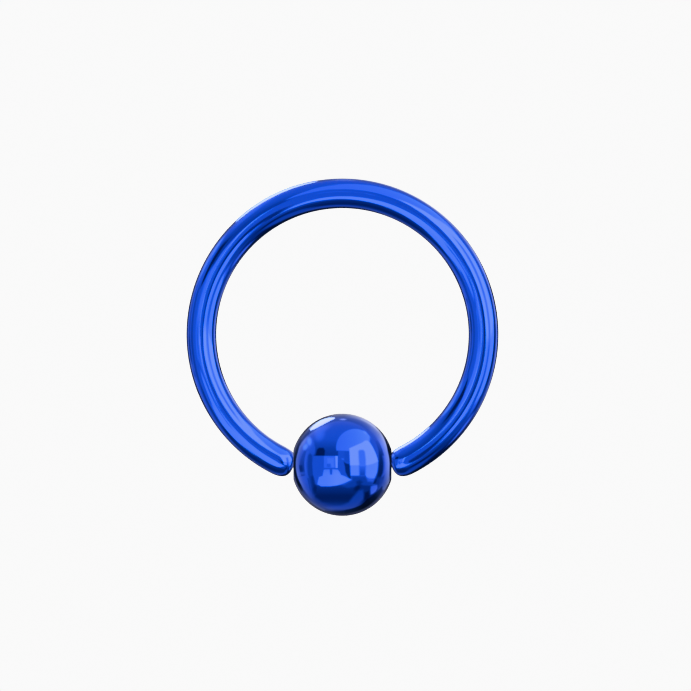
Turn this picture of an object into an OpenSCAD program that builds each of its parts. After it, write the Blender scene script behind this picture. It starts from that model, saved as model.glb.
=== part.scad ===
// Captive bead ring: a C-shaped hoop of round wire whose two rounded ends
// spring into dimples in a polished bead.
// It is drawn as it rests on a table, lying on its side, with the bead and the
// far side of the hoop on the surface.
// +X runs along the line through the two dimples, +Y from the bead towards the
// far side of the hoop, and +Z is up. The origin is on the table, in the middle
// of the outline. Lengths are in millimetres.

/* [Hoop] */
// Clear diameter inside the hoop
inner_d = 10; // [8:0.5:16]
// Diameter of the wire
wire_d = 1.2; // [1:0.1:1.6]
// Radius of the rounding around each end of the wire
end_round = 0.45; // [0.2:0.05:0.45]

/* [Bead] */
// Diameter of the bead
bead_d = 4.08; // [3:0.02:6]
// How far the middle of each wire end stands inside the bead's round outline
end_reach = 0.09; // [0.02:0.01:0.12]
// How much larger the radius of a dimple is than the radius of the wire
dimple_flare = 0.3; // [0.2:0.05:0.6]
// Gap between a wire end and the dimple that it springs into
seat_gap = 0.03; // [0.02:0.01:0.06]

/* [Hidden] */
$fn = 96;
anodised_blue = [0.08, 0.27, 0.84];

wire_r = wire_d / 2;
bead_r = bead_d / 2;
// Radius of the circle that the middle of the wire follows
hoop_r = (inner_d + wire_d) / 2;
// Radius of the flat that the rounding leaves in the middle of a wire end
end_flat_r = wire_r - end_round;

// The rounding starts end_angle away from the line through the bead and the
// hoop's middle, so that the flat's middle comes end_reach inside the bead:
// hoop_r * sin(end_angle) - end_round * cos(end_angle) = bead_r - end_reach
end_angle = atan(end_round / hoop_r)
    + asin((bead_r - end_reach) / sqrt(pow(hoop_r, 2) + pow(end_round, 2)));
// The bead's middle is level with the middle of the rounding
bead_offset = hoop_r * cos(end_angle) + end_round / 2 * sin(end_angle);

// The inner edge of a wire end comes deepest into the bead. Its rounding has
// its middle this far out along the dimples' line, and this far above it
edge_out = (hoop_r - end_flat_r) * sin(end_angle);
edge_up = bead_offset - (hoop_r - end_flat_r) * cos(end_angle);
// Each dimple is part of a ball that clears that edge by seat_gap
dimple_r = wire_r + dimple_flare;
dimple_out = edge_out + sqrt(pow(dimple_r - end_round - seat_gap, 2) - pow(edge_up, 2));

// Each half of the hoop runs this many degrees past the far side, so that the
// two are one solid there
half_lap = 10;

// At rest the bead and the far side of the hoop both touch the table
rest_tilt = asin((bead_r - wire_r) / (bead_offset + hoop_r));
rest_up = wire_r + hoop_r * sin(rest_tilt);
// The hoop's middle, measured from the middle of the whole outline along Y
rest_back = (bead_r - wire_r - (hoop_r - bead_offset) * cos(rest_tilt)) / 2;

// Lays what is drawn flat around the hoop's middle down on the table
module at_rest() {
    translate([0, rest_back, rest_up])
        rotate([-rest_tilt, 0, 0])
            children();
}

// The +X half of the hoop: its rounded end, and the wire that runs from there
// to just past the far side
module half_hoop() {
    rotate([0, 0, end_angle - 90]) {
        rotate_extrude(angle = 180 - end_angle + half_lap)
            translate([hoop_r, 0])
                circle(r = wire_r);
        translate([hoop_r, 0, 0])
            rotate([90, 0, 0])
                rotate_extrude() {
                    square([end_flat_r, end_round]);
                    translate([end_flat_r, 0])
                        intersection() {
                            circle(r = end_round);
                            square(end_round);
                        }
                }
    }
}

module ring() {
    color(anodised_blue)
        at_rest()
            for (turn = [0, 180])
                rotate([0, turn, 0])
                    half_hoop();
}

module captive_bead() {
    color(anodised_blue)
        at_rest()
            translate([0, -bead_offset, 0])
                rotate([0, 90, 0])
                    difference() {
                        sphere(r = bead_r);
                        for (side = [-1, 1])
                            translate([0, 0, side * dimple_out])
                                sphere(r = dimple_r);
                    }
}

ring();
captive_bead();
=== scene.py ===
# %% [markdown]
# # A captive bead ring in blue anodised metal
#
# The object is a hoop of round wire, open at one place, whose two rounded ends press into
# two dimples of a polished bead. Both pieces are mirror bright, so what we see of them is
# mostly the room around them, tinted blue by the metal.
#
# That settles the plan of this lesson. First comes the frame, then the camera, then two very
# smooth surfaces, then the blue metal, and last the studio that the metal reflects.

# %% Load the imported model
import math

import bpy
import numpy as np
from mathutils import Matrix, Vector


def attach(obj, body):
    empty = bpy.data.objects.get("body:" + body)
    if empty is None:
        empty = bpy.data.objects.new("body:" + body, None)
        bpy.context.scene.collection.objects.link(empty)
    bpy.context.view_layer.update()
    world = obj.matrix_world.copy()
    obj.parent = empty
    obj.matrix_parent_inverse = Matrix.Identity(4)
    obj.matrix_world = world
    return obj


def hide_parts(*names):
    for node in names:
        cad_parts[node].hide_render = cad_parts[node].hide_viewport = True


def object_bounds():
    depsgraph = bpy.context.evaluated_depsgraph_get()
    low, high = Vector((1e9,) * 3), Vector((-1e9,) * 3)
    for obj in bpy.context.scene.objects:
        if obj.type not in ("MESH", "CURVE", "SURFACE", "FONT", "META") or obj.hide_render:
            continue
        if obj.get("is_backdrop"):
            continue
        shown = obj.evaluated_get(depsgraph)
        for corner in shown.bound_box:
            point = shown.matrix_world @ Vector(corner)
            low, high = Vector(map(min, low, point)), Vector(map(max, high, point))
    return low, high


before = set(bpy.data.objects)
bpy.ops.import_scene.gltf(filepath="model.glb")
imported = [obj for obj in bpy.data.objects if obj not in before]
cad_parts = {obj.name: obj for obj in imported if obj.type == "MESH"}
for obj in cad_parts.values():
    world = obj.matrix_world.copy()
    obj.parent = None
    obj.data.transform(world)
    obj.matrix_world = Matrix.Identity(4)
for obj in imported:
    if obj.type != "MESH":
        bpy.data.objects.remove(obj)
cad_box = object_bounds()
print("CAD box in mm:", [[round(v * 1000, 3) for v in corner] for corner in cad_box])

# %% [markdown]
# ## Sizes and the resting place
#
# The sizes are the ones of the CAD source, in millimetres. The hoop lies on its side, and
# because the bead is thicker than the wire, the hoop leans up a little towards the bead.
# We draw each surface flat, with the hoop's centre at zero, and then put it in its resting
# place with one turn and one shift, as the CAD source does.

# %% Named sizes in millimetres
MM = 0.001
INNER_D = 10.0
WIRE_D = 1.2
END_ROUND = 0.45
BEAD_D = 4.08
END_REACH = 0.09
DIMPLE_FLARE = 0.3
SEAT_GAP = 0.03

wire_r = WIRE_D / 2
bead_r = BEAD_D / 2
hoop_r = (INNER_D + WIRE_D) / 2
end_flat_r = wire_r - END_ROUND
end_lean = math.atan(END_ROUND / hoop_r)
end_angle = end_lean + math.asin((bead_r - END_REACH) / math.hypot(hoop_r, END_ROUND))
bead_offset = hoop_r * math.cos(end_angle) + END_ROUND / 2 * math.sin(end_angle)
print("each end stops", round(math.degrees(end_angle), 3), "degrees from the bead's centre")

# %% The resting place: one turn about X, then one shift
rest_tilt = math.asin((bead_r - wire_r) / (bead_offset + hoop_r))
rest_up = wire_r + hoop_r * math.sin(rest_tilt)
rest_back = (bead_r - wire_r - (hoop_r - bead_offset) * math.cos(rest_tilt)) / 2

right = np.array([1.0, 0.0, 0.0])
across = np.array([0.0, math.cos(rest_tilt), -math.sin(rest_tilt)])
facing = np.array([0.0, math.sin(rest_tilt), math.cos(rest_tilt)])
hoop_centre = np.array([0.0, rest_back, rest_up])


def at_rest(points):
    """Flat drawing in mm to the resting place in metres.

    Formula: centre of the hoop, plus x times right, plus y times across, plus z times facing.
    """
    turned = points[..., :1] * right + points[..., 1:2] * across + points[..., 2:] * facing
    return (turned + hoop_centre) * MM


print("the hoop leans", round(math.degrees(rest_tilt), 2), "degrees")
bead_middle = np.array([0.0, -bead_offset, 0.0])
print("middle of the bead in mm:", (at_rest(bead_middle) / MM).round(3))

# %% [markdown]
# ## The camera
#
# The picture looks straight onto the flat side of the hoop, so the hoop shows as a full
# circle. Nothing in it gets smaller with distance, which tells us that the camera was far
# away with a long lens. We measure two things in the picture: where the middle of the hoop
# is, and how many pixels one millimetre takes.

# %% Camera
PICTURE_PX = 691
HOOP_MIDDLE_PX = (342.45, 334.4)
PX_PER_MM = 25.19
CAMERA_AWAY_MM = 800.0
SENSOR_MM = 36.0

field_mm = PICTURE_PX / PX_PER_MM
look_right = (PICTURE_PX / 2 - HOOP_MIDDLE_PX[0]) / PX_PER_MM
look_across = (HOOP_MIDDLE_PX[1] - PICTURE_PX / 2) / PX_PER_MM
look_at = at_rest(np.array([look_right, look_across, 0.0]))
eye = look_at + facing * CAMERA_AWAY_MM * MM

camera_data = bpy.data.cameras.new("camera")
camera_data.sensor_width = SENSOR_MM
camera_data.lens = SENSOR_MM * CAMERA_AWAY_MM / field_mm
camera_data.clip_start = 0.01
camera_data.clip_end = 20.0
camera = bpy.data.objects.new("camera", camera_data)
bpy.context.scene.collection.objects.link(camera)
axes = np.stack([right, across, facing], axis=1)
camera.matrix_world = Matrix.Translation(Vector(eye)) @ Matrix(axes.tolist()).to_4x4()
bpy.context.scene.camera = camera
print("lens", round(camera_data.lens, 1), "mm, field", round(field_mm, 2), "mm")

# %% [markdown]
# ## A helper that turns a grid of points into a closed mesh
#
# Both pieces are round all the way about some line: the wire about its own middle line, the
# bead about the line through its dimples. So each is a stack of circles, and the first and
# last circle are closed by one point. Quads join the circles, triangles close the two ends.

# %% From circles to a mesh
def skin(name, circles, start, end):
    """Mesh through a stack of circles, shape (rows, around, 3), closed by a point at each end.

    Point j of circle i joins points j and j + 1 of circle i + 1; the last point joins the first.
    """
    rows, around = circles.shape[:2]
    points = np.concatenate([circles.reshape(-1, 3), start[None], end[None]])
    here = np.arange(around)
    after = (here + 1) % around
    base = np.arange(rows - 1)[:, None] * around
    beyond = base + around
    quads = np.stack([base + here, beyond + here, beyond + after, base + after], axis=-1)
    first, last = rows * around, rows * around + 1
    top = (rows - 1) * around
    fan_in = np.stack([np.full(around, first), here, after], axis=-1)
    fan_out = np.stack([np.full(around, last), top + after, top + here], axis=-1)
    mesh = bpy.data.meshes.new(name)
    faces = quads.reshape(-1, 4).tolist() + fan_in.tolist() + fan_out.tolist()
    mesh.from_pydata(points.tolist(), [], faces)
    mesh.shade_smooth()
    mesh.validate()
    piece = bpy.data.objects.new(name, mesh)
    bpy.context.scene.collection.objects.link(piece)
    triangles = 2 * (rows - 1) * around + 2 * around
    print(name, "has", len(mesh.vertices), "points and", triangles, "triangles")
    return piece


def attribute(piece, name, values):
    """Three numbers per point, kept on the mesh so that a material can follow the surface."""
    layer = piece.data.attributes.new(name, "FLOAT_VECTOR", "POINT")
    layer.data.foreach_set("vector", np.asarray(values, np.float32).ravel())


# %% [markdown]
# ## The hoop
#
# The real hoop is a length of drawn wire, bent round a rod, with both ends turned round so
# that they don't scratch. It could be a torus primitive with two capsules, but then the ends
# would only touch the wire and a seam would show in the mirror finish.
#
# Here the whole hoop is one surface. A circle travels along one line: over the first end,
# where it grows from a point, round the hoop, and over the second end, where it shrinks
# again. The line bends with the hoop and runs on straight for the last bit of each end.
#
# The CAD source rounds each end with a quarter circle. A mirror shows where such a circle
# starts, because there the bend jumps. Real ends are tumbled, and their bend comes on slowly.
# So the outline of our ends is an oval of the third power, which lies a few hundredths of a
# millimetre inside the CAD outline and starts without any bend.

# %% Hoop surface
AROUND_WIRE = 128
STEPS_ALONG = 460
STEPS_AT_END = 48
TAPER = 0.8
OVAL_POWER = 3
SLOW_ALONG = 0.03

turn = np.linspace(0, 2 * np.pi, AROUND_WIRE, endpoint=False)


def end_outline():
    """Outline of one end: distance from the tip, and radius there.

    Formula: with t from 0 to a quarter turn, distance = TAPER (1 - cos(t) ^ (2/n)) and
    radius = wire_r sin(t) ^ (2/n), where n is OVAL_POWER.
    """
    t = np.linspace(0, np.pi / 2, STEPS_AT_END + 1)[1:]
    from_tip = TAPER * (1 - np.clip(np.cos(t), 0, 1) ** (2 / OVAL_POWER))
    return from_tip, wire_r * np.sin(t) ** (2 / OVAL_POWER)


def hoop_surface():
    """Circles along the wire's middle line, from tip to tip.

    Middle line: an arc of radius hoop_r, then straight on for END_ROUND at both ends.
    Radius: wire_r, and the outline of an end near each tip.
    """
    from_tip, end_r = end_outline()
    arc = hoop_r * (2 * np.pi - 2 * end_angle)
    first = from_tip - END_ROUND
    plain = np.linspace(first[-1], arc - first[-1], STEPS_ALONG)[1:-1]
    along = np.concatenate([first, plain, arc - first[::-1]])
    radius = np.concatenate([end_r, np.full(plain.shape, wire_r), end_r[::-1]])

    def middle_line(at):
        bent = np.clip(at, 0, arc)
        angle = end_angle + bent / hoop_r
        out = np.stack([np.sin(angle), -np.cos(angle), 0 * angle], axis=-1)
        ahead = np.stack([np.cos(angle), np.sin(angle), 0 * angle], axis=-1)
        return hoop_r * out + (at - bent)[:, None] * ahead, out

    middle, out = middle_line(along)
    up = np.array([0.0, 0.0, 1.0])
    spoke = np.cos(turn)[None, :, None] * out[:, None] + np.sin(turn)[None, :, None] * up
    circles = middle[:, None] + radius[:, None, None] * spoke
    tips = middle_line(np.array([-END_ROUND, arc + END_ROUND]))[0]
    return circles, tips, along


circles, tips, along = hoop_surface()
hoop = skin("ring_hoop", at_rest(circles), at_rest(tips[0]), at_rest(tips[1]))
slow = along * SLOW_ALONG
drawn = np.stack(np.broadcast_arrays(np.cos(turn)[None], np.sin(turn)[None], slow[:, None]), axis=-1)
drawn_tips = [[0, 0, slow[0]], [0, 0, slow[-1]]]
attribute(hoop, "drawn", np.concatenate([drawn.reshape(-1, 3), drawn_tips]))
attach(hoop, "ring")
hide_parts("ring")

# %% [markdown]
# ## The bead
#
# The bead is turned from bar as a ball, and a small round cutter sinks one dimple at each
# end of its axis. We draw half of its outline, from the middle of one dimple over the ball
# to the middle of the other, and carry it round the axis. The poles of this surface lie
# inside the dimples, so the part that shows has an even grid. Where the dimple meets the
# ball, a real edge is never sharp: tumbling leaves it with a tiny round.

# %% The dimple's place, as the CAD source works it out
edge_out = (hoop_r - end_flat_r) * math.sin(end_angle)
edge_up = bead_offset - (hoop_r - end_flat_r) * math.cos(end_angle)
dimple_r = wire_r + DIMPLE_FLARE
dimple_out = edge_out + math.sqrt((dimple_r - END_ROUND - SEAT_GAP) ** 2 - edge_up**2)
print("dimples: balls of radius", round(dimple_r, 3), "mm,", round(dimple_out, 3), "mm out")

# %% Bead surface
AROUND_BEAD = 192
RIM_ROUND = 0.02
POINTS_ON_DIMPLE = 14
POINTS_ON_RIM = 9
POINTS_ON_BALL = 190


def bead_outline():
    """Half of the bead's outline as (x, distance from the axis), from one dimple to the other.

    Dimple: circle of radius dimple_r about the point dimple_out on the axis.
    Rim: circle of radius RIM_ROUND that touches the dimple from outside and the ball from inside.
    Ball: circle of radius bead_r about the middle.
    """
    inner = bead_r - RIM_ROUND
    outer = dimple_r + RIM_ROUND
    rim_x = (dimple_out**2 + inner**2 - outer**2) / (2 * dimple_out)
    rim_y = math.sqrt(inner**2 - rim_x**2)
    dimple_edge = math.atan2(rim_y, dimple_out - rim_x)
    ball_edge = math.atan2(rim_y, rim_x)
    a = np.linspace(0, dimple_edge, POINTS_ON_DIMPLE)[1:-1]
    dimple = np.stack([dimple_out - dimple_r * np.cos(a), dimple_r * np.sin(a)], axis=-1)
    a = np.linspace(math.pi - dimple_edge, ball_edge, POINTS_ON_RIM)
    rim = np.stack([rim_x + RIM_ROUND * np.cos(a), rim_y + RIM_ROUND * np.sin(a)], axis=-1)
    a = np.linspace(ball_edge, math.pi - ball_edge, POINTS_ON_BALL)[1:-1]
    ball = np.stack([bead_r * np.cos(a), bead_r * np.sin(a)], axis=-1)
    half = np.concatenate([dimple, rim])
    other = half[::-1] * [-1, 1]
    return np.concatenate([half, ball, other])


outline = bead_outline()
turn = np.linspace(0, 2 * np.pi, AROUND_BEAD, endpoint=False)
spokes = np.stack([0 * turn, np.cos(turn), np.sin(turn)], axis=-1)
circles = outline[:, None, :1] * right + outline[:, None, 1:] * spokes
poles = [bead_middle + side * (dimple_out - dimple_r) * right for side in (1, -1)]
bead = skin("polished_bead", at_rest(circles + bead_middle), at_rest(poles[0]), at_rest(poles[1]))
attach(bead, "bead")
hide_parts("captive_bead")

# %% [markdown]
# ## Two mirrors that don't show each other
#
# Each polished piece could mirror the other, and both could throw blue light on the floor. The
# picture shows neither: the hoop has no image of the bead in it, and the ground is plain white.
# So each piece is hidden from mirror rays and from scattered light, and only the camera sees it.

# %% What the pieces are seen by
for piece in (hoop, bead):
    piece.visible_glossy = False
    piece.visible_diffuse = False
    print(piece.name, "is seen by the camera only")

# %% [markdown]
# ## Which way do the faces look?
#
# A closed surface must face outwards. The volume that its triangles enclose tells: it is
# positive when they do, and it should match the volume of the CAD solid too.

# %% Check of the two surfaces
def enclosed_mm3(piece):
    """Sum over all triangles of a . (b x c) / 6, with a, b, c their corners."""
    mesh = piece.data
    mesh.calc_loop_triangles()
    corners = np.zeros(len(mesh.vertices) * 3)
    mesh.vertices.foreach_get("co", corners)
    index = np.zeros(len(mesh.loop_triangles) * 3, int)
    mesh.loop_triangles.foreach_get("vertices", index)
    a, b, c = np.moveaxis(corners.reshape(-1, 3)[index.reshape(-1, 3)], 1, 0)
    return float((a * np.cross(b, c)).sum() / 6 * 1e9)


for piece in (hoop, bead):
    print(piece.name, "encloses", round(enclosed_mm3(piece), 3), "cubic mm")

# %% [markdown]
# ## Shader maths
#
# A material is a small program of nodes. Writing it as sums is easier to read, so one class
# wraps a socket and lets Python's plus and times add the Math nodes. Every other node comes
# from one method, which takes its type, its settings and its inputs.

# %% A socket that can be calculated with
class Signal:
    """A number that changes over the surface: an output socket in a material's node tree."""

    def __init__(self, desk, socket):
        self.desk = desk
        self.socket = socket

    def math(self, operation, first, second):
        return self.desk.add("ShaderNodeMath", {"operation": operation}, {0: first, 1: second})

    def __add__(self, other):
        return self.math("ADD", self, other)

    def __mul__(self, other):
        return self.math("MULTIPLY", self, other)

    __radd__ = __add__
    __rmul__ = __mul__


class Desk:
    """The node tree of one new material."""

    def __init__(self, name):
        self.material = bpy.data.materials.new(name)
        self.material.use_nodes = True
        self.tree = self.material.node_tree
        self.tree.nodes.clear()

    def add(self, kind, settings=None, inputs=None, output=0):
        """Adds a node: settings first, then values or links on its sockets."""
        node = self.tree.nodes.new(kind)
        for key, value in (settings or {}).items():
            setattr(node, key, value)
        for key, value in (inputs or {}).items():
            if isinstance(value, Signal):
                self.tree.links.new(value.socket, node.inputs[key])
            else:
                node.inputs[key].default_value = value
        return Signal(self, node.outputs[output]) if node.outputs else node


# %% [markdown]
# ## The blue metal
#
# The colour of anodised titanium isn't paint. A clear oxide layer, thinner than a wavelength
# of light, sits on the polished metal, and the light that comes back through it is blue. So
# the surface stays a metal: it mirrors the room and multiplies it by blue.
#
# The outside of the layer mirrors too, and it mirrors all colours alike. Seen from above that
# is only a few parts in a hundred, but it grows fast where we look along the surface. So the
# metal gets a clear coat with the bending power of such a layer, and the coat alone turns the
# rim of the bead and the edges of the wire grey and violet.
#
# A single flat blue would look like plastic foil. The real layer varies a little in thickness,
# so its blue drifts slightly towards violet and back. The polishing leaves marks too faint to
# see one by one: along the wire, because it was drawn and buffed that way, and in rings round
# the bead's axis, because it was turned. They only disturb the mirror a little.

# %% Anodised metal
BLUE_THIN = (0.002, 0.080, 0.79, 1.0)
BLUE_THICK = (0.007, 0.092, 0.795, 1.0)
OXIDE_IOR = 1.44
OXIDE_ROUGH = 0.03
DRIFT_SCALE = 420.0
WAVE_SCALE = 700.0
ROUGH_LEAST = 0.035
ROUGH_FROM_MARKS = 0.03
BUMP_STRENGTH = 0.6
BUMP_M = 1.2e-6
TURNED_STRETCH = 0.06


def anodised(name, drift_at, marks_at, marks_scale, marks_depth):
    """Metal with a drifting blue, faint polishing marks, a slight waviness and a clear layer."""
    desk = Desk(name)

    def noise(at, scale, detail):
        return desk.add("ShaderNodeTexNoise", {}, {"Vector": at(desk), "Scale": scale, "Detail": detail})

    drift = noise(drift_at, DRIFT_SCALE, 2.0)
    marks = noise(marks_at, marks_scale, 3.0)
    waves = noise(drift_at, WAVE_SCALE, 1.0)
    mix_settings = {"data_type": "RGBA", "blend_type": "MIX"}
    blue = desk.add("ShaderNodeMix", mix_settings, {0: drift, 6: BLUE_THIN, 7: BLUE_THICK}, output=2)
    rough = ROUGH_LEAST + marks * ROUGH_FROM_MARKS
    relief = {"Height": waves + marks * marks_depth, "Strength": BUMP_STRENGTH, "Distance": BUMP_M}
    bump = desk.add("ShaderNodeBump", {}, relief)
    metal = {"Base Color": blue, "Metallic": 1.0, "Roughness": rough, "Normal": bump}
    clear = {"Coat Weight": 1.0, "Coat Roughness": OXIDE_ROUGH, "Coat IOR": OXIDE_IOR}
    shader = desk.add("ShaderNodeBsdfPrincipled", {}, metal | clear)
    desk.add("ShaderNodeOutputMaterial", {}, {"Surface": shader})
    return desk.material


def object_place(desk):
    """The place on the piece, in metres."""
    return desk.add("ShaderNodeTexCoord", {}, {}, output="Object")


def drawn_place(desk):
    """The place on the wire: two numbers for the turn round it, and a slow one along it."""
    return desk.add("ShaderNodeAttribute", {"attribute_name": "drawn"}, {}, output="Vector")


def turned_place(desk):
    """The place on the bead, stretched so that a pattern becomes rings round the X axis."""
    stretch = {"Vector": object_place(desk), "Scale": (1.0, TURNED_STRETCH, TURNED_STRETCH)}
    return desk.add("ShaderNodeMapping", {}, stretch)


# %% Blue wire and blue bead
DRAWN_MARKS = {"marks_scale": 8.0, "marks_depth": 7.0}
TURNED_MARKS = {"marks_scale": 9000.0, "marks_depth": 0.05}

hoop.data.materials.append(anodised("anodised_wire_blue", object_place, drawn_place, **DRAWN_MARKS))
bead.data.materials.append(anodised("anodised_bead_blue", object_place, turned_place, **TURNED_MARKS))
for piece in (hoop, bead):
    finish = piece.data.materials[0]
    print(piece.name, "wears", finish.name, "of", len(finish.node_tree.nodes), "nodes")

# %% [markdown]
# ## Floor and daylight
#
# The ring lies on a plain pale floor under an even white sky, which is the softest light
# there is. The floor isn't mirrored in the metal, as if it were clear glass over the lower
# half of the studio: in the picture the underside of the metal is dark, not white.

# %% Floor and sky
FLOOR_HALF_M = 8.0
FLOOR_WHITE = 0.95
SKY_LEVEL = 1.9

floor_mesh = bpy.data.meshes.new("floor")
h = FLOOR_HALF_M
floor_mesh.from_pydata([(-h, -h, 0), (h, -h, 0), (h, h, 0), (-h, h, 0)], [], [(0, 1, 2, 3)])
floor = bpy.data.objects.new("floor", floor_mesh)
bpy.context.scene.collection.objects.link(floor)
floor.visible_glossy = False
floor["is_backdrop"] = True
desk = Desk("pale_floor")
paper = desk.add("ShaderNodeBsdfDiffuse", {}, {"Color": (FLOOR_WHITE, FLOOR_WHITE, FLOOR_WHITE, 1.0)})
desk.add("ShaderNodeOutputMaterial", {}, {"Surface": paper})
floor_mesh.materials.append(desk.material)

world = bpy.data.worlds.new("even_sky")
world.use_nodes = True
sky = world.node_tree.nodes["Background"]
sky.inputs["Color"].default_value = (1.0, 1.0, 1.0, 1.0)
sky.inputs["Strength"].default_value = SKY_LEVEL
bpy.context.scene.world = world
world.cycles_visibility.glossy = False
bpy.context.scene.view_settings.view_transform = "Khronos PBR Neutral"
print("view:", bpy.context.scene.view_settings.view_transform)

# %% [markdown]
# ## The studio in the mirror
#
# A mirror shows its surroundings, so the studio has to be there. It could be built of lamps
# and cards, but each one would then be placed by trial. A ball mirror makes it simpler: on the
# bead, every direction of the whole room has its own spot. So we hang a very large, thin tent
# round the ring, and say for each spot of the tent how bright it is, by where its mirror image
# falls on the bead: x to the right and y up, as parts of the bead's radius. The tent only
# shows in mirrors. It lights nothing else and the camera doesn't see it.
#
# The spot (x, y) on the bead has the surface direction (x, y, and what is left for z). A
# mirror sends the view back turned about that direction by twice its angle. So a circle of
# spots at the distance s from the bead's middle belongs to the circle of the tent that is
# twice arcsin(s) away from the line to the camera.
#
# Where do the numbers of this studio come from? For each pixel of the pictured bead we can work
# out how bright the room must be that it mirrors, once the blue of the metal is taken out. The
# shapes below were read off tables and maps of that, and most were later scaled a little to
# the bead's measured radius. So they trace the room that the picture shows. One or two soft
# panels would light the ring just as well, but its mirror image would be another one.

# %% The points of the tent
RINGS = 220
SPOKES = 440

share = np.linspace(0, 1, RINGS + 1)[1:-1, None]
round_angle = np.linspace(0, 2 * np.pi, SPOKES, endpoint=False)[None]
print("the tent has", share.size * round_angle.size, "points")


# %% A tent that can be furnished
def soft_step(outside, blur):
    """1 inside, 0 outside, with an S-shaped step around the edge."""
    t = np.clip(0.5 - outside / (2 * blur), 0, 1)
    return t * t * (3 - 2 * t)


class Tent:
    """The inside of the light tent, as brightness at places (x, y) of the bead's picture."""

    def __init__(self, away, angle):
        self.away = away + 0 * angle
        self.angle = np.degrees(angle) + 0 * away
        self.x = away * np.cos(angle)
        self.y = away * np.sin(angle)
        self.light = np.zeros(self.x.shape)
        self.count = 0

    def cover(self, share, level):
        """Lays a level over what is there: old times (1 - share) plus level times share."""
        self.light = self.light * (1 - share) + level * share
        self.count += 1

    def panel(self, level, blur, corners):
        """A flat panel with straight edges.

        Formula: distance to the nearest edge, counted negative inside, through a soft step.
        """
        ends = np.array(corners, float)
        near = np.full(self.x.shape, np.inf)
        inside = np.zeros(self.x.shape, bool)
        for (ax, ay), (bx, by) in zip(ends, np.roll(ends, -1, axis=0)):
            run_x, run_y = bx - ax, by - ay
            along = ((self.x - ax) * run_x + (self.y - ay) * run_y) / (run_x**2 + run_y**2)
            along = np.clip(along, 0, 1)
            to_edge = np.hypot(self.x - ax - along * run_x, self.y - ay - along * run_y)
            near = np.minimum(near, to_edge)
            if run_y != 0:
                left_of = self.x < ax + (self.y - ay) * run_x / run_y
                inside ^= ((ay > self.y) != (by > self.y)) & left_of
        self.cover(soft_step(np.where(inside, -near, near), blur), level)

    def lamp(self, level, blur, middle, half_size, turn=0):
        """A round or oval panel: distance from the middle in half sizes, through a soft step."""
        a = np.radians(turn)
        u = (self.x - middle[0]) * np.cos(a) + (self.y - middle[1]) * np.sin(a)
        v = (self.y - middle[1]) * np.cos(a) - (self.x - middle[0]) * np.sin(a)
        outside = (np.hypot(u / half_size[0], v / half_size[1]) - 1) * min(half_size)
        self.cover(soft_step(outside, blur), level)

    def band(self, level, blur, angles, inner, outer):
        """A strip along the rim. Level, inner and outer distance are read along the angle.

        Formula: how far a point is past an edge or an end of the strip, through a soft step.
        """
        length = angles[-1] - angles[0]
        after = (self.angle - angles[0]) % 360
        at = angles[0] + np.minimum(after, length)
        beyond = np.minimum(after - length, 360 - after)
        past = np.where(after > length, beyond, -np.minimum(after, length - after))
        low = np.interp(at, angles, inner) - self.away
        high = self.away - np.interp(at, angles, outer)
        outside = np.maximum(np.maximum(low, high), np.radians(past) * self.away)
        levels = np.broadcast_to(level, len(angles))
        self.cover(soft_step(outside, blur), np.interp(at, angles, levels))

    def report(self, part):
        mean = round(float(self.light.mean()), 3)
        print(part, "done:", self.count, "parts so far, mean level", mean)


tent = Tent(share, round_angle)

# %% [markdown]
# ### Back wall and ground
#
# Everything starts from large soft areas. The upper third is a wall that gets lighter towards
# the ceiling, the middle is an evenly lit wall, and the lower third is the ground, which is
# dark in the shadow of the table and lighter where it comes forward.

# %% Back wall and ground
WALL_FOOT = 0.172
GROUND_EDGE = -0.395
MID_LEVEL = 0.80
wall = np.interp(
    tent.y,
    [0.175, 0.235, 0.315, 0.415, 0.49, 0.59],
    [0.42, 0.44, 0.5, 0.66, 0.78, 0.82],
)
ground = np.interp(
    -tent.y,
    [0.415, 0.455, 0.53, 0.59, 0.65, 0.71, 0.77, 0.825, 0.865, 0.915],
    [0.36, 0.27, 0.21, 0.15, 0.14, 0.17, 0.30, 0.46, 0.36, 0.09],
)
tent.light = np.where(tent.y > WALL_FOOT, wall, np.where(tent.y < GROUND_EDGE, ground, MID_LEVEL))
tent.panel(0.37, 0.04, [
    (-0.55, -0.61), (-0.395, -0.73), (-0.195, -0.79), (-0.1, -0.845), (-0.295, -0.905),
    (-0.69, -0.77), (-0.79, -0.59), (-0.65, -0.59),
])
tent.report("back wall and ground")

# %% [markdown]
# ### Side wall on the left
#
# The side wall shows near the bead's left rim, squeezed into narrow upright strips. Where a
# strip follows the rim, we draw it as a band: its two edges are distances from the middle that
# we read along the angle, counted from the right and against the clock.

# %% Side wall on the left
side_level = np.interp(tent.y, [-0.7, -0.42, -0.2, 0.15, 0.28], [0.5, 0.62, 0.7, 0.74, 0.86])
tent.panel(side_level, 0.02, [
    (-0.57, 0.165), (-0.535, 0.22), (-0.53, 0.33), (-0.57, 0.5), (-0.6, 0.72), (-0.985, 0.74),
    (-0.985, -0.74), (-0.61, -0.74), (-0.57, -0.49),
])
tent.panel(0.47, 0.02, [
    (-0.59, -0.65), (-0.61, -0.49), (-0.65, -0.295), (-0.74, -0.195), (-0.845, -0.195),
    (-0.79, -0.415), (-0.69, -0.55),
])
tent.panel(0.48, 0.02, [
    (-0.665, 0.18), (-0.63, 0.22), (-0.59, 0.18), (-0.585, 0.0), (-0.57, -0.195),
    (-0.53, -0.375), (-0.49, -0.415), (-0.49, -0.49), (-0.55, -0.63), (-0.59, -0.55),
    (-0.6, -0.445), (-0.635, -0.345), (-0.67, -0.195), (-0.675, 0.0),
])
tent.panel(0.28, 0.03, [
    (-0.57, -0.215), (-0.53, -0.375), (-0.49, -0.415), (-0.49, -0.51), (-0.53, -0.61),
    (-0.58, -0.55), (-0.6, -0.355), (-0.61, -0.235),
])
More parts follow.
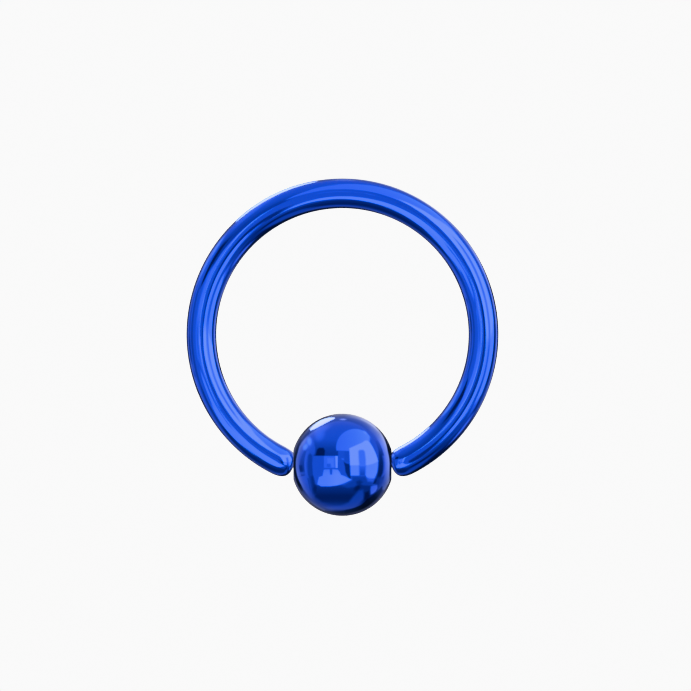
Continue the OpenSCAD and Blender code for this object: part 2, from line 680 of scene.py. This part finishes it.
tent.panel(0.17, 0.03, [
    (-0.54, -0.395), (-0.49, -0.435), (-0.49, -0.55), (-0.53, -0.58), (-0.57, -0.475),
])
tent.report("side wall")

# %% Strips of the side wall
tent.band([0.9, 0.93, 0.91, 0.76], 0.014, [158, 175, 190, 201],
          [0.7, 0.7, 0.7, 0.7], [0.745, 0.745, 0.745, 0.75])
tent.band([0.64, 0.56, 0.46, 0.38, 0.5], 0.014, [160, 172, 180, 187, 191],
          [0.748, 0.748, 0.745, 0.745, 0.745], [0.79, 0.82, 0.835, 0.835, 0.82])
tent.band([0.3, 0.24, 0.3], 0.012, [181, 186, 190], [0.78, 0.78, 0.78], [0.845, 0.845, 0.84])
tent.band([0.85, 0.8, 0.74, 0.74, 0.8, 0.82], 0.012, [148, 160, 172, 182, 192, 198],
          [0.85, 0.845, 0.84, 0.845, 0.835, 0.825], [0.893, 0.9, 0.902, 0.905, 0.903, 0.9])
tent.band([0.82, 0.8, 0.7, 0.65, 0.54, 0.36, 0.3], 0.016, [196, 204, 212, 218, 224, 232, 240],
          [0.735, 0.735, 0.765, 0.8, 0.815, 0.84, 0.85], [0.9, 0.893, 0.885, 0.885, 0.885, 0.9, 0.9])
tent.lamp(1.05, 0.05, (-0.68, 0.415), (0.09, 0.1), turn=-50)
tent.lamp(1.9, 0.02, (-0.645, 0.45), (0.042, 0.07))
tent.lamp(1.85, 0.02, (-0.72, 0.345), (0.036, 0.06), turn=-30)
tent.report("strips of the side wall")

# %% [markdown]
# ### Ceiling glow, niche and white wall
#
# A soft glow hangs over the left. Below it opens a dark niche, and under the niche stands the
# white wall with one framed pane, which is lighter than the wall and has a bright right edge.

# %% Ceiling glow, niche and white wall
tent.lamp(1.18, 0.07, (-0.445, 0.6), (0.08, 0.11), turn=-15)
tent.lamp(1.15, 0.05, (-0.395, 0.69), (0.12, 0.04), turn=25)
tent.panel(0.12, 0.018, [
    (-0.525, 0.17), (-0.495, 0.295), (-0.455, 0.33), (-0.37, 0.33), (-0.34, 0.275), (-0.35, 0.17),
])
tent.panel(0.82, 0.012, [
    (-0.585, 0.02), (-0.57, 0.12), (-0.52, 0.172), (-0.085, 0.172), (-0.085, 0.275), (0.14, 0.275),
    (0.15, -0.195), (0.195, -0.395), (-0.49, -0.395), (-0.57, -0.195),
])
tent.panel(1.22, 0.01, [(-0.36, 0.17), (-0.095, 0.17), (-0.095, -0.06), (-0.36, -0.06)])
tent.panel(1.48, 0.012, [
    (-0.295, 0.13), (-0.165, 0.13), (-0.165, -0.05), (-0.21, -0.05), (-0.23, 0.03), (-0.295, 0.03),
])
tent.panel(0.95, 0.01, [(-0.305, 0.015), (-0.235, 0.015), (-0.235, -0.045), (-0.305, -0.045)])
tent.panel(2.4, 0.01, [(-0.137, 0.17), (-0.093, 0.17), (-0.095, -0.06), (-0.13, -0.06)])
tent.panel(1.25, 0.012, [(-0.02, 0.125), (0.025, 0.125), (0.03, 0.095), (-0.01, 0.1)])
tent.panel(0.74, 0.03, [(0.04, 0.255), (0.12, 0.265), (0.14, 0.05), (0.05, 0.06)])
tent.report("niche and white wall")

# %% [markdown]
# ### Table
#
# A white table stands in front of the wall. Its top gets lighter towards the window on the
# right. Two blocks on it rise above its back edge, and a dark wedge of shadow ends it.

# %% Table
table_level = np.interp(tent.x, [-0.49, -0.295, -0.1, 0.15], [1.74, 1.82, 2.06, 2.0])
back_shade = np.clip(2 * (tent.y + 0.195), 0, 0.25)
tent.panel(table_level - back_shade, 0.014, [
    (-0.485, -0.38), (-0.475, -0.315), (-0.455, -0.24), (-0.385, -0.215), (-0.365, -0.105),
    (-0.345, -0.09), (-0.25, -0.09), (-0.24, -0.19), (-0.2, -0.19), (-0.195, -0.085),
    (-0.09, -0.095), (-0.055, -0.14), (-0.03, -0.195), (0.05, -0.225), (0.175, -0.29),
    (0.05, -0.35), (-0.1, -0.4), (-0.245, -0.42), (-0.415, -0.42),
])
tent.panel(0.24, 0.014, [
    (0.025, 0.06), (0.065, 0.03), (0.135, 0.01), (0.14, -0.1), (0.165, -0.265), (0.13, -0.26),
    (0.095, -0.215), (0.06, -0.14), (0.045, -0.02),
])
tent.report("table")

# %% [markdown]
# ### Round reflector and window
#
# A large round reflector hangs above, lit from the right. Below it is the window, the
# brightest large area: open sky at the top, and a lower part with two hazy panes.

# %% Round reflector
REFLECTOR_MIDDLE = np.array([0.242, 0.33])
REFLECTOR_R = 0.367
a = np.radians(np.arange(15, 190, 7))[:, None]
reflector_edge = REFLECTOR_MIDDLE + REFLECTOR_R * np.concatenate([np.cos(a), np.sin(a)], axis=1)
reflector_level = np.interp(tent.x, [-0.1, 0.245, 0.49], [1.3, 1.51, 1.8])
tent.panel(reflector_level, 0.012, [*reflector_edge, (-0.115, 0.275), (0.15, 0.27), (0.49, 0.195)])
tent.lamp(2.1, 0.02, (0.445, 0.625), (0.035, 0.015), turn=-40)
tent.panel(0.82, 0.02, [
    (0.535, 0.55), (0.59, 0.49), (0.69, 0.415), (0.735, 0.325), (0.75, 0.195), (0.69, 0.1),
    (0.65, 0.195), (0.59, 0.335), (0.53, 0.445),
])
tent.report("round reflector")

# %% Window
tent.band([0.22, 0.17, 0.15, 0.19, 0.3, 0.52, 0.65], 0.022,
          [329, 336, 348, 362, 374, 384, 394],
          [0.705, 0.7, 0.7, 0.705, 0.727, 0.76, 0.78],
          [0.745, 0.775, 0.8, 0.796, 0.795, 0.795, 0.8])
tent.panel(1.9, 0.012, [
    (0.155, 0.02), (0.69, 0.075), (0.69, 0.0), (0.675, -0.14), (0.645, -0.215), (0.62, -0.265),
    (0.51, -0.285), (0.465, -0.245), (0.45, -0.21), (0.158, -0.21),
])
tent.panel(2.68, 0.012, [
    (0.135, 0.32), (0.28, 0.385), (0.385, 0.43), (0.44, 0.47), (0.49, 0.47), (0.53, 0.43),
    (0.59, 0.345), (0.65, 0.215), (0.68, 0.12), (0.69, 0.065), (0.6, 0.02), (0.47, -0.012),
    (0.148, -0.008),
])
tent.panel(1.42, 0.022, [
    (0.31, 0.265), (0.335, 0.29), (0.405, 0.29), (0.438, 0.255), (0.455, 0.1), (0.455, -0.02),
    (0.325, -0.02), (0.315, 0.12),
])
haze = np.interp(tent.y, [-0.2, -0.02], [0.62, 1.1])
tent.panel(haze, 0.025, [(0.322, -0.02), (0.455, -0.02), (0.445, -0.215), (0.33, -0.215)])
tent.report("window")

# %% [markdown]
# ### Ground on the right
#
# Under the window the ground is in half shadow, with one lit patch and a few dark legs.

# %% Ground on the right
tent.panel(0.5, 0.03, [
    (0.19, -0.23), (0.445, -0.23), (0.51, -0.295), (0.63, -0.295), (0.59, -0.395), (0.445, -0.415),
    (0.295, -0.415), (0.1, -0.445), (0.0, -0.415), (0.06, -0.375), (0.19, -0.305),
])
tent.panel(1.0, 0.03, [(0.465, -0.25), (0.63, -0.285), (0.59, -0.335), (0.49, -0.325)])
tent.panel(0.28, 0.03, [
    (0.265, -0.325), (0.335, -0.295), (0.395, -0.335), (0.335, -0.395), (0.275, -0.375),
])
tent.panel(0.33, 0.03, [
    (0.63, -0.295), (0.69, -0.24), (0.77, -0.245), (0.935, -0.1), (0.915, -0.295), (0.79, -0.54),
    (0.65, -0.57), (0.69, -0.415), (0.63, -0.395),
])
tent.panel(0.25, 0.03, [
    (0.355, -0.395), (0.59, -0.415), (0.54, -0.59), (0.435, -0.63), (0.395, -0.49),
])
tent.lamp(0.12, 0.03, (0.29, -0.45), (0.08, 0.045), turn=40)
tent.panel(0.5, 0.035, [
    (0.32, -0.5), (0.395, -0.485), (0.415, -0.59), (0.405, -0.67), (0.315, -0.77), (0.215, -0.825),
    (0.05, -0.84), (-0.12, -0.84), (-0.05, -0.81), (0.12, -0.73), (0.215, -0.61),
])
tent.lamp(0.54, 0.03, (-0.1, -0.835), (0.22, 0.03))
tent.panel(1.02, 0.018, [
    (0.55, -0.42), (0.61, -0.4), (0.67, -0.395), (0.68, -0.455), (0.645, -0.52), (0.59, -0.565),
    (0.545, -0.58), (0.54, -0.49),
])
tent.panel(0.08, 0.03, [(0.43, -0.54), (0.51, -0.51), (0.53, -0.61), (0.5, -0.69), (0.42, -0.69)])
tent.panel(0.16, 0.015, [
    (0.635, -0.28), (0.665, -0.28), (0.655, -0.335), (0.615, -0.38), (0.59, -0.375),
])
tent.panel(0.45, 0.025, [
    (0.72, -0.285), (0.77, -0.245), (0.81, -0.315), (0.77, -0.475), (0.69, -0.53), (0.69, -0.435),
    (0.72, -0.355),
])
tent.report("ground on the right")

# %% [markdown]
# ### Behind the ring
#
# What stands behind the ring is squeezed into the last tenth of the bead's radius, in strips
# that follow the rim. They also draw the thin lines along both edges of the hoop. On the right
# is a light curtain, at the bottom and the sides it is nearly black, and over the top it is an
# even grey.

# %% Light strips near the rim
tent.band([0.78, 0.74, 0.64, 0.58, 0.54, 0.56, 0.57, 0.62], 0.025,
          [396, 410, 420, 430, 440, 455, 482, 500],
          [0.8, 0.81, 0.83, 0.84, 0.85, 0.855, 0.86, 0.87], 8 * [0.94])
tent.band([0.5, 0.56, 0.76, 0.98, 1.1, 1.13, 1.24, 1.06, 0.88, 0.8, 0.76], 0.02,
          [327, 336, 345, 354, 364, 374, 384, 391, 398, 404, 412],
          [0.86, 0.85, 0.84, 0.83, 0.828, 0.828, 0.83, 0.835, 0.84, 0.845, 0.85],
          [0.95, 0.945, 0.94, 0.915, 0.913, 0.917, 0.94, 0.96, 0.975, 0.985, 1.0])
tent.band([0.82, 0.82, 0.8, 0.64, 0.46, 0.42, 0.42], 0.02, [400, 412, 425, 438, 448, 465, 484],
          [0.92, 0.935, 0.94, 0.94, 0.918, 0.912, 0.908], 7 * [1.0])
tent.band([0.88, 1.0, 1.0, 0.86], 0.01, [402, 408, 415, 428], 4 * [0.95], [0.97, 0.972, 0.972, 0.97])
tent.report("light strips near the rim")

# %% Dark strips near the rim
tent.band([0.37, 0.31, 0.28], 0.02, [133.5, 142, 156], [0.876, 0.888, 0.907], 3 * [1.0])
tent.band([0.24, 0.16, 0.1, 0.05, 0.05, 0.04, 0.1, 0.2], 0.01,
          [149, 156, 165, 175, 195, 206, 211, 216],
          [0.922, 0.91, 0.901, 0.908, 0.904, 0.893, 0.897, 0.905], 8 * [0.99])
tent.band([0.24, 0.3, 0.34, 0.34, 0.26, 0.2], 0.02, [214, 222, 232, 245, 255, 262],
          [0.895, 0.895, 0.9, 0.9, 0.91, 0.93], 6 * [1.0])
tent.band([0.14, 0.1, 0.07, 0.055, 0.032, 0.032, 0.055, 0.14, 0.22], 0.012,
          [249, 262, 275, 285, 295, 305, 315, 324, 331],
          [0.945, 0.922, 0.875, 0.864, 0.854, 0.82, 0.838, 0.855, 0.87],
          [1.0, 1.0, 1.0, 1.0, 1.0, 1.0, 1.0, 0.94, 0.885])
tent.band([0.1, 0.13, 0.13, 0.16, 0.26], 0.012, [272, 282, 300, 315, 328],
          [0.96, 0.945, 0.945, 0.935, 0.915], 5 * [1.0])
tent.band([0.28, 0.07, 0.05, 0.045, 0.045, 0.05, 0.06], 0.01, [341, 347, 355, 364, 377, 388, 398],
          [0.958, 0.934, 0.917, 0.917, 0.921, 0.949, 0.971], 7 * [1.0])
tent.report("dark strips near the rim")

# %% [markdown]
# ### Lamp
#
# The whitest spot of all is a long lamp behind the ring, high on the left, a dozen times as
# bright as the walls. On the bead it is an oval, and on the hoop a thin white line, once along
# the outer edge and once along the inner one. Outside it everything ends in a dark edge.

# %% Lamp and the dark edge
tent.lamp(1.5, 0.012, (0.01, 0.882), (0.05, 0.012))
tent.band([0.45, 0.15, 0.14, 0.22, 0.2, 0.24, 0.18, 0.12, 0.14, 0.22, 0.07, 0.04, 0.2, 0.45], 0.008,
          [95, 115, 135, 155, 180, 210, 230, 265, 295, 322, 342, 375, 398, 408],
          [0.965, 0.962, 0.965, 0.955, 0.952, 0.952, 0.952,
           0.965, 0.965, 0.96, 0.965, 0.97, 0.97, 0.975], 14 * [1.01])
tent.band(12.5, 0.006, [100, 105, 110, 117, 124, 129, 133],
          [0.915, 0.897, 0.883, 0.873, 0.877, 0.89, 0.915],
          [0.928, 0.942, 0.951, 0.956, 0.95, 0.942, 0.93])
tent.report("lamp and dark edge")

# %% [markdown]
# ### The colour of the light
#
# No light is quite white. What hangs in front of the ring is lit by daylight, and the brighter
# it is there, the less red and the more green it sends compared with blue. What hangs behind
# the ring, near the rim of the bead's picture, is lit by warmer lamps. At the very edge the
# clear layer mirrors all colours as they come, so the light there is left plain, or the
# outline would turn brown.

# %% The colour of the light
def coloured(level, steps, red, green):
    """Red, green and blue: the level times a red and a green share, read along the level."""
    shares = [np.interp(level, steps, red), np.interp(level, steps, green), np.ones(level.shape)]
    return level[..., None] * np.stack(shares, axis=-1)


BEHIND_FROM = 0.85
PLAIN_FROM = 0.965
daylight = coloured(
    tent.light,
    [0.8, 1.0, 1.35, 1.6, 2.7],
    [1.0, 1.15, 0.85, 0.58, 0.57],
    [1.0, 1.08, 1.04, 1.08, 1.26],
)
lamplight = coloured(
    tent.light,
    [0.03, 0.2, 0.6, 1.0, 1.5, 8.0],
    [1.8, 1.1, 0.95, 1.25, 1.3, 0.9],
    [1.7, 1.1, 1.02, 1.24, 1.25, 1.35],
)
in_front = soft_step(tent.away - BEHIND_FROM, 0.03)[..., None]
at_edge = soft_step(PLAIN_FROM - tent.away, 0.008)[..., None]
behind = lamplight * (1 - at_edge) + tent.light[..., None] * at_edge
glow = daylight * in_front + behind * (1 - in_front)
print("brightest light:", glow.reshape(-1, 3).max(axis=0).round(2))

# %% [markdown]
# ## Hanging the tent
#
# The tent is a great ball, one and a half metres in radius, round a ring of twelve
# millimetres, so that bead and hoop see nearly the same of it.

# %% Tent mesh
TENT_AWAY_M = 1.5
tip_angle = 2 * np.arcsin(share)
directions = (
    (np.sin(tip_angle) * np.cos(round_angle))[..., None] * right
    + (np.sin(tip_angle) * np.sin(round_angle))[..., None] * across
    + (np.cos(tip_angle) + 0 * round_angle)[..., None] * facing
)
middle = hoop_centre * MM
front = middle + TENT_AWAY_M * facing
back = middle - TENT_AWAY_M * facing
tent_piece = skin("studio_tent", middle + TENT_AWAY_M * directions, front, back)
ends = [glow[0].mean(axis=0), glow[-1].mean(axis=0)]
attribute(tent_piece, "glow", np.concatenate([glow.reshape(-1, 3), ends]))

desk = Desk("studio_glow")
painted = desk.add("ShaderNodeAttribute", {"attribute_name": "glow"}, {}, output="Color")
shine = desk.add("ShaderNodeEmission", {}, {"Color": painted, "Strength": 1.0})
desk.add("ShaderNodeOutputMaterial", {}, {"Surface": shine})
desk.material.cycles.emission_sampling = "NONE"
tent_piece.data.materials.append(desk.material)
tent_piece.visible_camera = False
tent_piece.visible_diffuse = False
tent_piece.visible_transmission = False
tent_piece.visible_shadow = False
tent_piece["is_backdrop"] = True

# %% [markdown]
# ## Does it still fit?
#
# Whatever we drew replaces a solid of the same size, so the box round our surfaces has to be
# the box of the CAD model. Ours may be a few thousandths of a millimetre larger, because the
# flat facets of the CAD mesh cut the true round shape a little short.

# %% Sizes of both models, and the end
size = {"cad": [list(v) for v in cad_box], "visual": [list(v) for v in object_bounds()]}
for name, corners in size.items():
    print(name, "box in mm:", [[round(v * 1000, 3) for v in corner] for corner in corners])
